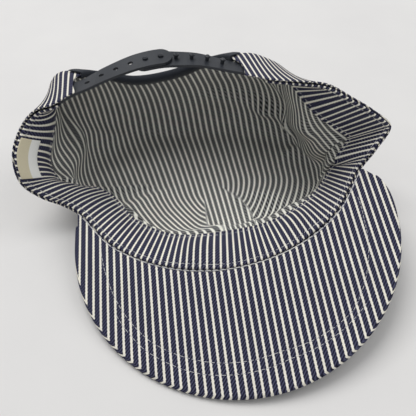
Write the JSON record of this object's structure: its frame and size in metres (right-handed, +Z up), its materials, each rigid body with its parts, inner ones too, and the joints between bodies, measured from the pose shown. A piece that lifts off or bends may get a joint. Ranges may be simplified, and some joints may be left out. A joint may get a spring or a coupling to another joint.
{
  "type": "railroad engineer cap",
  "caption": "Striped cloth work cap with a pleated full crown, a sweatband inside its mouth, a stiff round brim and a plastic snap strap across a back arch, lying upside down.",
  "frame": {"origin": "on the resting surface, under the middle of the whole cap's box", "axes": "+Z up with the cap lying upside down, the brim points to -Y, +X is to the right for someone who looks at the brim"},
  "size_m": [0.2292, 0.222, 0.0854],
  "materials": {
    "crown_twill": "navy cotton twill with narrow cream stripes, matt",
    "band_twill": "navy cotton twill with narrow cream stripes, matt",
    "brim_twill": "navy cotton twill with narrow cream stripes, drawn over a stiff board",
    "tape": "dark woven tape, matt",
    "strap_plastic": "charcoal grey moulded plastic, satin",
    "peg_plastic": "charcoal grey moulded plastic, satin",
    "label": "thin woven cloth label, blank"
  },
  "bodies": {
    "root": {"crown": "crown_twill", "sweatband": "band_twill", "brim": "brim_twill", "arch_binding": "tape", "strap_holes": "strap_plastic", "strap_pegs": "peg_plastic", "label": "label"}
  },
  "joints": []
}
